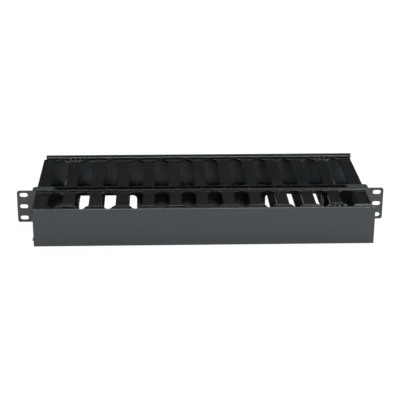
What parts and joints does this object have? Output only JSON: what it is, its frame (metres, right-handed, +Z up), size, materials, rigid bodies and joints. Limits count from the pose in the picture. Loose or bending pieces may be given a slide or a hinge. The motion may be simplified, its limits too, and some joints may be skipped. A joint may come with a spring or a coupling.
{
  "type": "horizontal cable manager",
  "caption": "Rack-mounted horizontal cable manager with finger ducts in front and behind, pass-through openings and hinged covers.",
  "frame": {"origin": "middle of the rack mounting plane, the back face of the ears", "axes": "+X to the right seen from the front, -Y to the front, +Z up"},
  "size_m": [0.4826, 0.2111, 0.0494],
  "materials": {
    "panel_paint": "fine textured black powder coat",
    "duct_plastic": "moulded black plastic with a faint sheen",
    "cover_plastic": "extruded dark grey-black plastic, satin",
    "clip_plastic": "moulded black nylon, glossy",
    "screw_steel": "black oxide steel"
  },
  "bodies": {
    "chassis": {"rack_panel": "panel_paint", "front_duct": "duct_plastic", "rear_duct": "duct_plastic", "rear_duct_lugs": "duct_plastic", "duct_screws": "screw_steel", "duct_spacers": "duct_plastic", "duct_nuts": "screw_steel", "front_upper_left_clip": "clip_plastic", "front_upper_right_clip": "clip_plastic", "front_lower_left_clip": "clip_plastic", "front_lower_right_clip": "clip_plastic", "rear_upper_left_clip": "clip_plastic", "rear_upper_right_clip": "clip_plastic", "rear_lower_left_clip": "clip_plastic", "rear_lower_right_clip": "clip_plastic"},
    "front_lid": {"front_cover": "cover_plastic"},
    "rear_lid": {"rear_cover": "cover_plastic"}
  },
  "joints": [
    {"name": "front_cover_hinge", "type": "hinge", "parent": "chassis", "child": "front_lid", "pos_m": [0, -0.0722, 0.0217], "axis": [-1, 0, 0], "range_deg": [0, 105]},
    {"name": "rear_cover_hinge", "type": "hinge", "parent": "chassis", "child": "rear_lid", "pos_m": [0, 0.1273, 0.0217], "axis": [1, 0, 0], "range_deg": [0, 105]}
  ]
}
